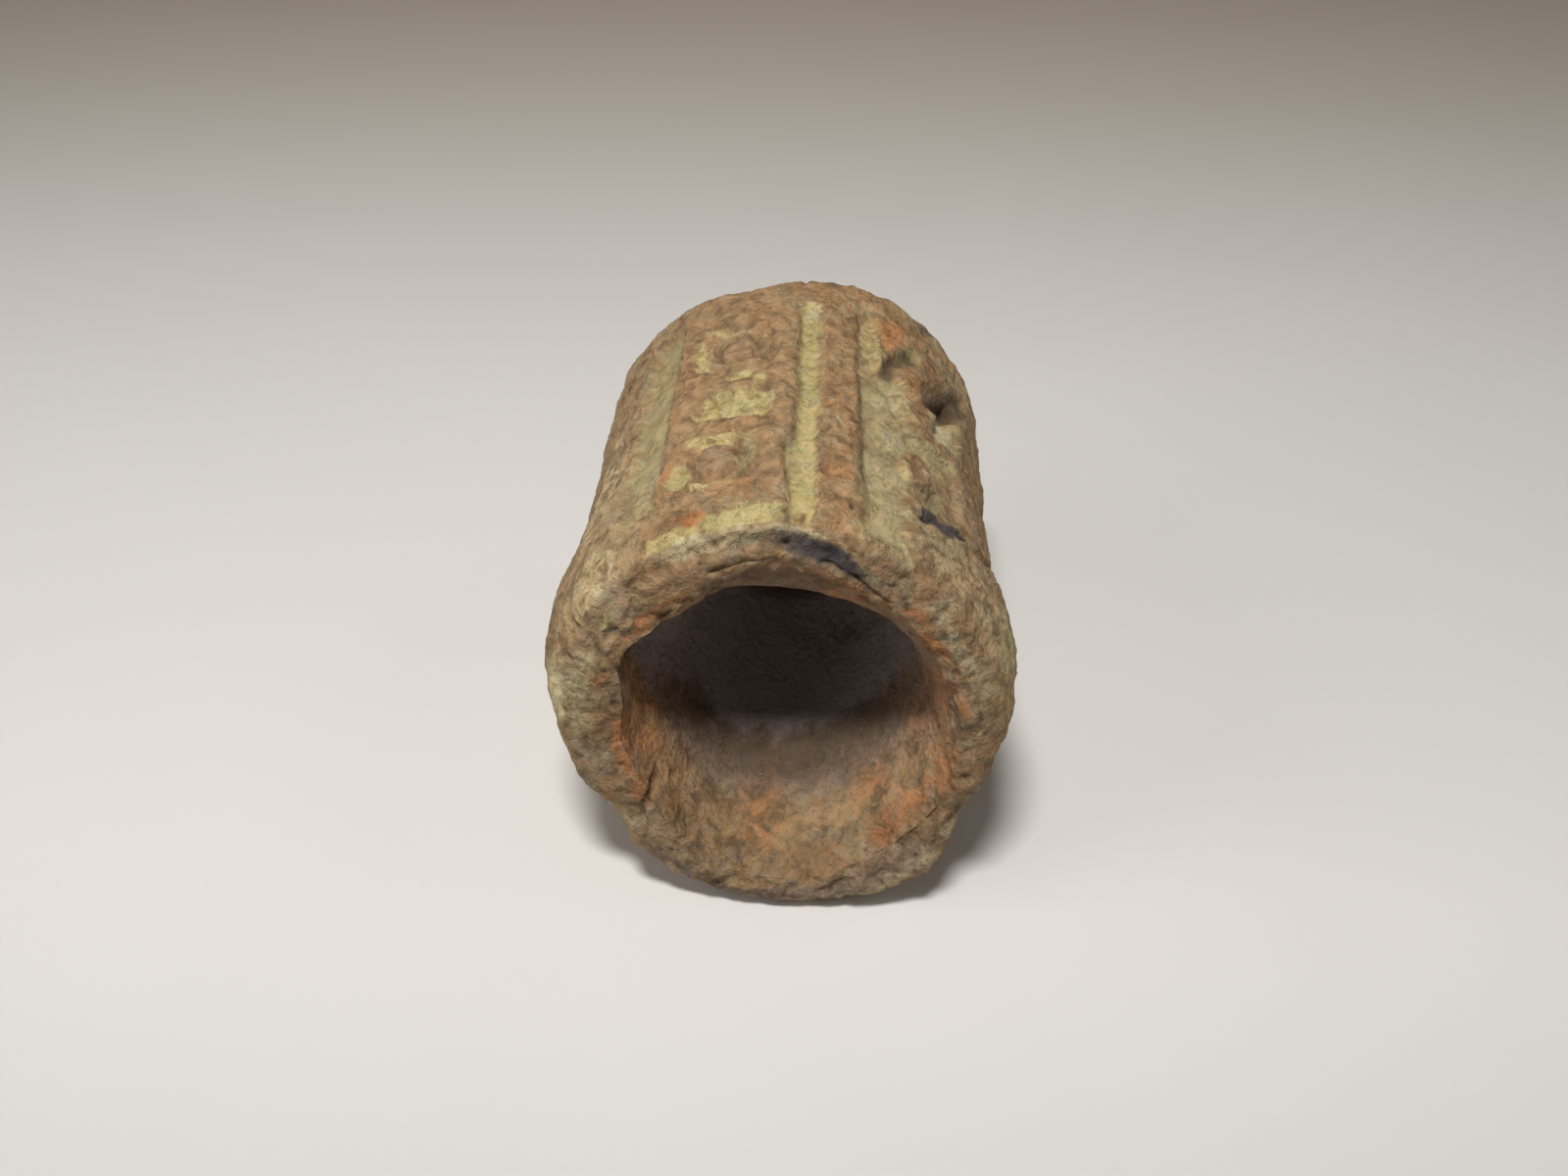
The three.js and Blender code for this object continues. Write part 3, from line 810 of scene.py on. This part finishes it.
class Graph:
    """The nodes of one material, ending in a Principled shader."""

    def __init__(self, name: str) -> None:
        """Makes an empty material.

        Args:
            name: The material's name.
        """
        self.material = bpy.data.materials.new(name)
        self.material.use_nodes = True
        self.tree = self.material.node_tree
        self.tree.nodes.clear()

    def node(self, kind: str, settings: dict, inputs: dict, output: int | str = 0) -> Wire:
        """Adds a node.

        Args:
            kind: The node's type.
            settings: Its properties, set before its sockets.
            inputs: Values or wires, by the socket's name or number.
            output: Name or number of the output socket wanted.

        Returns:
            That output.
        """
        node = self.tree.nodes.new(kind)
        for key, value in settings.items():
            setattr(node, key, value)
        for key, value in inputs.items():
            if isinstance(value, Wire):
                self.tree.links.new(value.socket, node.inputs[key])
            elif isinstance(value, tuple) and len(value) == 3 and node.inputs[key].type == "RGBA":
                node.inputs[key].default_value = (*value, 1.0)
            else:
                node.inputs[key].default_value = value
        return Wire(self, node.outputs[output] if node.outputs else None)

    def coordinates(self) -> Wire:
        """Returns the piece's own coordinates, in metres."""
        return self.node("ShaderNodeTexCoord", {}, {}, "Object")

    def mask(self, name: str) -> Wire:
        """Returns one attribute of the mesh."""
        return self.node("ShaderNodeAttribute", {"attribute_name": name}, {}, "Fac")

    def noise(self, place: Wire, feature: float, detail: float, rough: float = 0.55,
              swirl: float = 0.0) -> Wire:
        """A noise pattern.

        Args:
            place: Coordinates in metres.
            feature: Width of a lump in millimetres.
            detail: How many finer layers are added.
            rough: Strength of each finer layer.
            swirl: How far the pattern is drawn out into curls.

        Returns:
            Values from 0 to 1.
        """
        return self.node("ShaderNodeTexNoise", {"normalize": True}, {
            "Vector": place, "Scale": 1.0 / (feature * MM), "Detail": detail, "Roughness": rough,
            "Distortion": swirl,
        })

    def shifted(self, place: Wire, by: float) -> Wire:
        """Returns coordinates moved by so many millimetres, for another stretch of a pattern."""
        return self.node("ShaderNodeVectorMath", {"operation": "ADD"},
                         {0: place, 1: (by * MM, 0.7 * by * MM, -by * MM)})

    def grains(self, place: Wire, feature: float) -> Wire:
        """Returns distances to scattered grains about `feature` mm apart, as shares of the gap."""
        return self.node("ShaderNodeTexVoronoi", {"feature": "F1"},
                         {"Vector": place, "Scale": 1.0 / (feature * MM)}, "Distance")

    def mixed(self, share: Wire | float, first: "Wire | Colour", second: "Wire | Colour",
              how: str = "MIX") -> Wire:
        """Returns one colour mixed with so great a share of a second."""
        return self.node("ShaderNodeMix", {"data_type": "RGBA", "blend_type": how},
                         {0: share, 6: first, 7: second}, 2)

    def shine(self, inputs: dict) -> bpy.types.Material:
        """Ends the graph.

        Args:
            inputs: The Principled shader's sockets.

        Returns:
            The finished material.
        """
        shader = self.node("ShaderNodeBsdfPrincipled", {}, inputs)
        self.node("ShaderNodeOutputMaterial", {}, {"Surface": shader})
        return self.material


@dataclass(frozen=True)
class FiredClay:
    """Worn fired clay with mineral films, rust, soot, grime, painted shade and highlights."""

    tan: Colour = (0.380, 0.268, 0.145)
    brown: Colour = (0.295, 0.190, 0.100)
    ash: Colour = (0.325, 0.268, 0.175)
    ochre: Colour = (0.440, 0.335, 0.160)
    red: Colour = (0.345, 0.197, 0.094)
    orange: Colour = (0.430, 0.200, 0.080)
    yellow: Colour = (0.500, 0.415, 0.180)
    olive: Colour = (0.400, 0.335, 0.175)
    plum: Colour = (0.235, 0.165, 0.128)
    # also the painted highlight on raised places and along the lip's top ridge
    pale: Colour = (0.590, 0.505, 0.310)
    # the pale curls: lint with painted glints
    straw: Colour = (0.560, 0.480, 0.300)
    soot: Colour = (0.045, 0.043, 0.050)
    # dark brown for grime, and for painted shade in recesses, creases and the hollow
    dirt: Colour = (0.050, 0.034, 0.022)
    # grey-mauve painted shade deep in the hollow
    dust: Colour = (0.270, 0.222, 0.212)
    roughness: float = 0.9

    def material(self) -> bpy.types.Material:
        """Builds the clay's material.

        Returns:
            The material, which reads the mesh's tone attributes.
        """
        graph = Graph("fired_clay")
        place = graph.coordinates()
        broad = graph.noise(place, 9.0, 3.0)
        patch = graph.noise(place, 3.2, 5.0, 0.62, 0.4)
        stroke = graph.noise(graph.shifted(place, 23.0), 1.7, 4.0, 0.55, 0.8)
        grit = graph.noise(place, 0.6, 3.0, 0.6, 0.5)
        grain = graph.grains(place, 0.9)
        rough = 1.0 - graph.mask("smooth") * 0.55
        lip = graph.mask("lip")
        colour = graph.mixed(broad.step(0.35, 0.65), self.brown, self.tan)
        for tone, feature, shift, low, most in (
            (self.ash, 3.6, 41.0, 0.52, 0.5), (self.red, 3.0, 67.0, 0.54, 0.35),
            (self.ochre, 2.2, 89.0, 0.56, 0.2), (self.plum, 2.6, 103.0, 0.56, 0.42),
            (self.orange, 1.8, 131.0, 0.66, 0.14),
        ):
            blotch = graph.noise(graph.shifted(place, shift), feature, 5.0, 0.68, 1.2)
            share = blotch.step(low, low + 0.08) * (lip * 0.4 + most)
            colour = graph.mixed(share, colour, tone)
        fray = (patch - 0.5) * 0.9 + (stroke - 0.5) * 1.0 + (grit - 0.5) * 0.7

        def coated(under: Wire, *coats: tuple[Tone, "Wire | Colour", float, float]) -> Wire:
            """Lays films with frayed edges over a colour.

            Args:
                under: The colour.
                coats: For each film its tone, colour, softness and greatest cover.

            Returns:
                The covered colour.
            """
            for tone, film_colour, soft, most in coats:
                cover = (graph.mask(tone.value) + fray).step(0.45 - soft, 0.45 + soft) * most
                under = graph.mixed(cover, under, film_colour)
            return under

        def curls(shift: float, feature: float, thin: float) -> Wire:
            """Draws thin, broken, curling lines.

            Args:
                shift: How far the pattern is moved.
                feature: The size of a curl.
                thin: How thin the lines are.

            Returns:
                How strong the lines are, from 0 to 1.
            """
            field = graph.noise(graph.shifted(place, shift), feature, 2.0, 0.5, 2.2)
            broken = graph.noise(graph.shifted(place, shift + 7.0), 1.4, 3.0)
            return (1.0 - abs(field - 0.5).step(0.0, thin)) * broken.step(0.5, 0.6)

        film = graph.mixed(stroke.step(0.45, 0.65) * 0.6, self.yellow, self.olive)
        film = graph.mixed(grit.step(0.5, 0.62) * 0.35, film, self.pale)
        colour = coated(
            colour, (Tone.RED, self.red, 0.4, 0.7), (Tone.PLUM, self.plum, 0.4, 0.8),
            (Tone.OLIVE, self.olive, 0.4, 0.8), (Tone.YELLOW, film, 0.4, 0.95),
            (Tone.PALE, self.pale, 0.4, 0.8), (Tone.ORANGE, self.orange, 0.4, 0.92),
        )
        cool = graph.noise(graph.shifted(place, 151.0), 2.0, 4.0, 0.65, 1.0).step(0.38, 0.62)
        tint = graph.mixed(cool, (1.06, 1.0, 0.94), (0.95, 1.0, 1.0))
        mottle = stroke * 0.5 + grit * 0.2 + patch * 0.3
        shade = graph.mixed(mottle.step(0.36, 0.64), (0.60, 0.57, 0.54), (1.45, 1.45, 1.43))
        # the lip share darkens the lip face, and the funnel more with depth as painted shade
        for share, filter_colour in ((1.0, tint), (rough, shade), (lip, (0.77, 0.75, 0.76))):
            colour = graph.mixed(share, colour, filter_colour, "MULTIPLY")
        # pale curls: lint with painted glints; dark curls: dark lines
        pale_curl, dark_curl = curls(171.0, 0.9, 0.035), curls(191.0, 1.1, 0.04)
        # crease: painted shade in the bump's low places
        crease = (1.0 - (stroke * 0.55 + grit * 0.45).step(0.32, 0.45)) * rough
        # hollow: painted shade in recesses; proud: painted highlight on raised places
        for share, line_colour in (
            (pale_curl * 0.65, self.straw), (dark_curl * 0.4, self.dirt), (crease * 0.2, self.dirt),
            (graph.mask("hollow") * 0.3, self.dirt), (graph.mask("proud") * 0.25, self.pale),
        ):
            colour = graph.mixed(share, colour, line_colour)
        # grime with painted shade, soot, and the painted shade deep in the hollow
        colour = coated(colour, (Tone.DIRT, self.dirt, 0.5, 0.8),
                        (Tone.SOOT, self.soot, 0.35, 0.9), (Tone.DUST, self.dust, 0.45, 0.95))
        speck = (1.0 - grain.step(0.06, 0.2)) * patch.step(0.45, 0.6)
        colour = graph.mixed(speck * 0.5, colour, self.dirt)
        height = patch * 0.5 + (stroke * 0.7 + grit * 0.55) * rough + pale_curl * 0.12 + grain * 0.1
        bump = graph.node("ShaderNodeBump", {}, {
            "Strength": 1.0, "Distance": 0.6 * MM, "Height": height,
        })
        return graph.shine({
            "Base Color": colour, "Roughness": (grit - 0.5) * 0.2 + self.roughness,
            "Normal": bump, "Specular IOR Level": 0.3,
        })


def spun(bm: bmesh.types.BMesh, axis: Point, steps: int, merge: float) -> None:
    """Spins a section once round an axis through the origin, and closes it with its normals out.

    Args:
        bm: The mesh that holds the section.
        axis: The axis's direction.
        steps: How many faces go round.
        merge: Vertices nearer than this become one.
    """
    bmesh.ops.spin(
        bm, geom=list(bm.verts) + list(bm.edges), cent=(0, 0, 0), axis=axis, dvec=(0, 0, 0),
        angle=math.tau, steps=steps, use_merge=True,
    )
    bmesh.ops.remove_doubles(bm, verts=bm.verts, dist=merge)
    bmesh.ops.recalc_face_normals(bm, faces=bm.faces)
    for face in bm.faces:
        face.smooth = True


def placed(name: str, data: bpy.types.ID, place: Point = (0.0, 0.0, 0.0),
           target: Point | None = None) -> bpy.types.Object:
    """Adds an object to the scene.

    Args:
        name: Its name.
        data: Its mesh, light or camera.
        place: Where it stands, in millimetres.
        target: The point it is aimed at, if it is aimed.

    Returns:
        The object.
    """
    thing = bpy.data.objects.new(name, data)
    bpy.context.scene.collection.objects.link(thing)
    thing.location = Vector(place) * MM
    if target is not None:
        aim = Vector(target) - Vector(place)
        thing.rotation_euler = aim.to_track_quat("-Z", "Y").to_euler()
    return thing


@dataclass(frozen=True)
class SealBody:
    """The one piece of clay: its mesh, its marks and its finish."""

    form: BarrelForm = BarrelForm()
    wear: Wear = Wear()
    clay: FiredClay = FiredClay()
    steps: int = 432        # faces round the axis
    crowding: float = 0.3   # how much closer they stand at the top
    merge: float = 1e-4     # vertices nearer than this become one
    margin: float = 0.3     # where the skin starts to give way to the CAD's box
    passes: int = 8         # how far round a place its depth is compared
    hollow: tuple[float, float] = (0.06, 0.45)   # deeper than round it, from none to fully
    proud: tuple[float, float] = (-0.06, -0.35)  # shallower than round it
    inner_lip: float = 0.55  # lip darkening carried deeper into the funnel: painted shade
    seed: int = 41

    def spun_ring(self) -> bpy.types.Mesh:
        """Spins the closed section round the axis.

        Returns:
            A mesh whose vertices hold their place along the section in the attribute "run".
        """
        bm = bmesh.new()
        run = bm.verts.layers.float.new("run")
        angle = np.zeros(1)
        corners = []
        for leg in Leg:
            radius, behind = self.form.section(angle, np.array([float(leg.start)]))
            corner = bm.verts.new((0.0, behind[0], radius[0]))
            corner[run] = leg.start
            corners.append(corner)
        last = bm.verts.new(corners[0].co)
        last[run] = len(Leg)
        corners.append(last)
        sides = [bm.edges.new(pair) for pair in zip(corners, corners[1:])]
        for leg, side in zip(Leg, sides):
            bmesh.ops.subdivide_edges(bm, edges=[side], cuts=leg.rows - 1)
        spun(bm, (0.0, 1.0, 0.0), self.steps, self.merge)
        mesh = bpy.data.meshes.new("seal_body")
        bm.to_mesh(mesh)
        bm.free()
        return mesh

    def charted(self, mesh: bpy.types.Mesh) -> Surface:
        """Reads the spun ring and sets its vertices on the form.

        Args:
            mesh: The spun ring.

        Returns:
            The charted surface, in the order of the mesh's vertices.
        """
        count = len(mesh.vertices)
        ring, run = np.zeros(count * 3), np.zeros(count)
        mesh.vertices.foreach_get("co", ring)
        mesh.attributes["run"].data.foreach_get("value", run)
        turn = np.arctan2(ring[0::3], ring[2::3])
        angle = np.degrees(turn - self.crowding * np.sin(turn))
        surface = Surface(self.form, angle, run)
        mesh.vertices.foreach_set("co", surface.place.ravel())
        mesh.update()
        return surface

    def softened(self, values: Array, mesh: bpy.types.Mesh) -> Array:
        """Averages values over neighbours.

        Args:
            values: One number a vertex.
            mesh: The mesh that they lie on.

        Returns:
            The softened values.
        """
        ends = np.zeros(len(mesh.edges) * 2, int)
        mesh.edges.foreach_get("vertices", ends)
        first, second = ends[0::2], ends[1::2]
        links = np.bincount(ends, minlength=len(values))
        for _ in range(self.passes):
            total = np.bincount(first, values[second], len(values))
            total += np.bincount(second, values[first], len(values))
            values = 0.5 * values + 0.5 * total / links
        return values

    def worked(self, mesh: bpy.types.Mesh, surface: Surface) -> dict[str, Array]:
        """Sinks the carving and the wear into the mesh.

        Args:
            mesh: The mesh on its form.
            surface: The charted surface.

        Returns:
            The mesh's attributes: the tones, and how hollow or proud it is.
        """
        noise = ClayNoise(self.seed)
        normals = np.zeros(len(mesh.vertices) * 3)
        mesh.vertex_normals.foreach_get("vector", normals)
        cut, smooth = carved(surface, noise)
        depth = cut + self.wear.depth(surface, noise, smooth)
        place = surface.place - normals.reshape(-1, 3) * depth[:, None]
        low, high = (np.array(corner) / MM for corner in CAD_BOX)
        for limit, side in ((low, -1.0), (high, 1.0)):
            past = side * (place - limit) + self.margin
            near = self.margin * np.tanh(np.maximum(past, 0.0) / self.margin)
            place = np.where(past > 0.0, limit + side * (near - self.margin), place)
        place[:, 2] = np.maximum(place[:, 2], 0.0)
        mesh.vertices.foreach_set("co", (place * MM).ravel())
        mesh.update()
        away = depth - self.softened(depth, mesh)
        named = stained(surface, noise)
        # hollow and proud carry painted shade in recesses and painted highlights on raised places
        named["hollow"], named["proud"] = eased(*self.hollow, away), eased(*self.proud, away)
        named["smooth"] = smooth
        # the lip mask also darkens the funnel more with depth: painted shade in the hollow
        lip = surface.share[Chart.FACE] * (1.0 - surface.share[Chart.SKIN])
        deep = eased(2.0, 9.0, surface.behind)
        named["lip"] = np.maximum(lip, self.inner_lip * surface.share[Chart.FUNNEL] * deep)
        return named

    def build(self) -> bpy.types.Object:
        """Builds and dresses the body.

        Returns:
            The finished piece.
        """
        mesh = self.spun_ring()
        surface = self.charted(mesh)
        for name, values in self.worked(mesh, surface).items():
            layer = mesh.attributes.new(name, "FLOAT", "POINT")
            layer.data.foreach_set("value", values.astype(np.float32))
        mesh.attributes.remove(mesh.attributes["run"])
        mesh.materials.append(self.clay.material())
        body = placed("seal_body", mesh)
        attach(body, "root")
        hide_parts("seal")
        return body


@dataclass(frozen=True)
class PaleTable:
    """The plain pale floor that rises far out into a wall."""

    flat_radius: float = 700.0
    wall_radius: float = 1000.0
    wall_height: float = 900.0
    sides: int = 96
    bend_steps: int = 12
    merge: float = 1e-6
    colour: Colour = (0.78, 0.765, 0.745)
    mottling: float = 0.93
    # painted light falloff towards the back, and a painted shadow at the front
    far_falloff_tint: Colour = (0.80, 0.72, 0.63)
    near_shadow_tint: Colour = (0.86, 0.87, 0.89)

    def material(self) -> bpy.types.Material:
        """Returns a matt material with a faint mottling and painted shade behind and in front."""
        graph = Graph("pale_table")
        place = graph.coordinates()
        cloud = graph.noise(place, 40.0, 3.0)
        fibre = graph.noise(place, 3.0, 3.0)
        darker = tuple(self.mottling * part for part in self.colour)
        colour = graph.mixed(cloud * 0.5 + fibre * 0.15, self.colour, darker)
        # darker and warmer towards the back, darker at the front: painted falloff and shadow
        ahead = graph.node("ShaderNodeSeparateXYZ", {}, {"Vector": place}, "Y")
        back, front = ahead.step(0.05, 0.26), 1.0 - ahead.step(-0.07, -0.02)
        colour = graph.mixed(back, colour, self.far_falloff_tint, "MULTIPLY")
        colour = graph.mixed(front, colour, self.near_shadow_tint, "MULTIPLY")
        return graph.shine({"Base Color": colour, "Roughness": 0.75, "Specular IOR Level": 0.2})

    def build(self) -> bpy.types.Object:
        """Builds the floor.

        Returns:
            The floor.
        """
        bm = bmesh.new()
        rise = self.wall_radius - self.flat_radius
        centre = bm.verts.new((0.0, 0.0, 0.0))
        edge = bm.verts.new((self.flat_radius * MM, 0.0, 0.0))
        bm.edges.new((centre, edge))
        bend = bmesh.ops.spin(
            bm, geom=[edge], cent=(self.flat_radius * MM, 0.0, rise * MM), axis=(0, -1, 0),
            dvec=(0, 0, 0), angle=math.pi / 2, steps=self.bend_steps,
        )
        top = next(part for part in bend["geom_last"] if isinstance(part, bmesh.types.BMVert))
        wall = bmesh.ops.extrude_vert_indiv(bm, verts=[top])["verts"]
        bmesh.ops.translate(bm, verts=wall, vec=(0.0, 0.0, (self.wall_height - rise) * MM))
        spun(bm, (0.0, 0.0, 1.0), self.sides, self.merge)
        if max(bm.faces, key=lambda face: -face.calc_center_median().z).normal.z < 0:
            bmesh.ops.reverse_faces(bm, faces=bm.faces)
        mesh = bpy.data.meshes.new("table")
        bm.to_mesh(mesh)
        bm.free()
        mesh.materials.append(self.material())
        table = placed("table", mesh)
        return table


@dataclass(frozen=True)
class Lamp:
    """A soft lamp: round, or a long oval where `narrow` is given."""

    name: str
    place: Point
    across: float
    power: float
    colour: Colour
    narrow: float | None = None
    target: Point = (0.0, 0.0, 10.0)

    def build(self) -> bpy.types.Object:
        """Hangs the lamp.

        Returns:
            The lamp.
        """
        light = bpy.data.lights.new(self.name, "AREA")
        light.shape = "ELLIPSE"
        light.size = self.across * MM
        light.size_y = (self.narrow or self.across) * MM
        light.energy = self.power
        light.color = self.colour
        return placed(self.name, light, self.place, self.target)


@dataclass(frozen=True)
class Studio:
    """The lights, the surroundings and the camera."""

    lamps: tuple[Lamp, ...] = (
        Lamp("key", (-20.0, -92.0, 335.0), 90.0, 0.95, (1.0, 0.98, 0.95), 45.0),
        Lamp("fill", (-320.0, -120.0, 210.0), 240.0, 0.34, (1.0, 0.98, 0.97)),
        Lamp("side", (300.0, 60.0, 280.0), 240.0, 0.10, (0.97, 0.98, 1.0)),
    )
    around: Colour = (1.0, 0.93, 0.89)
    around_strength: float = 0.105
    camera_place: Point = (5.28, -104.46, 111.01)
    camera_target: Point = (0.0, -0.93, 20.2)
    lens: float = 31.5
    film_width: float = 36.0
    nearest: float = 0.005

    def build(self) -> None:
        """Sets up the lights, the surroundings and the camera."""
        scene = bpy.context.scene
        for lamp in self.lamps:
            lamp.build()
        world = bpy.data.worlds.new("studio")
        world.use_nodes = True
        back = world.node_tree.nodes["Background"]
        back.inputs["Color"].default_value = (*self.around, 1.0)
        back.inputs["Strength"].default_value = self.around_strength
        scene.world = world
        lens = bpy.data.cameras.new("camera")
        lens.lens = self.lens
        lens.sensor_width = self.film_width
        lens.clip_start = self.nearest
        scene.camera = placed("camera", lens, self.camera_place, self.camera_target)
        scene.view_settings.view_transform = "Standard"


def main() -> None:
    """Builds the seal and its studio, and reports each piece."""
    logging.basicConfig(level=logging.INFO, format="%(name)s: %(message)s")
    body = SealBody().build()
    LOG.info("%s: %d vertices, %d faces", body.name, len(body.data.vertices),
             len(body.data.polygons))
    table = PaleTable().build()
    LOG.info("%s: %d faces", table.name, len(table.data.polygons))
    Studio().build()


if __name__ == "__main__":
    main()
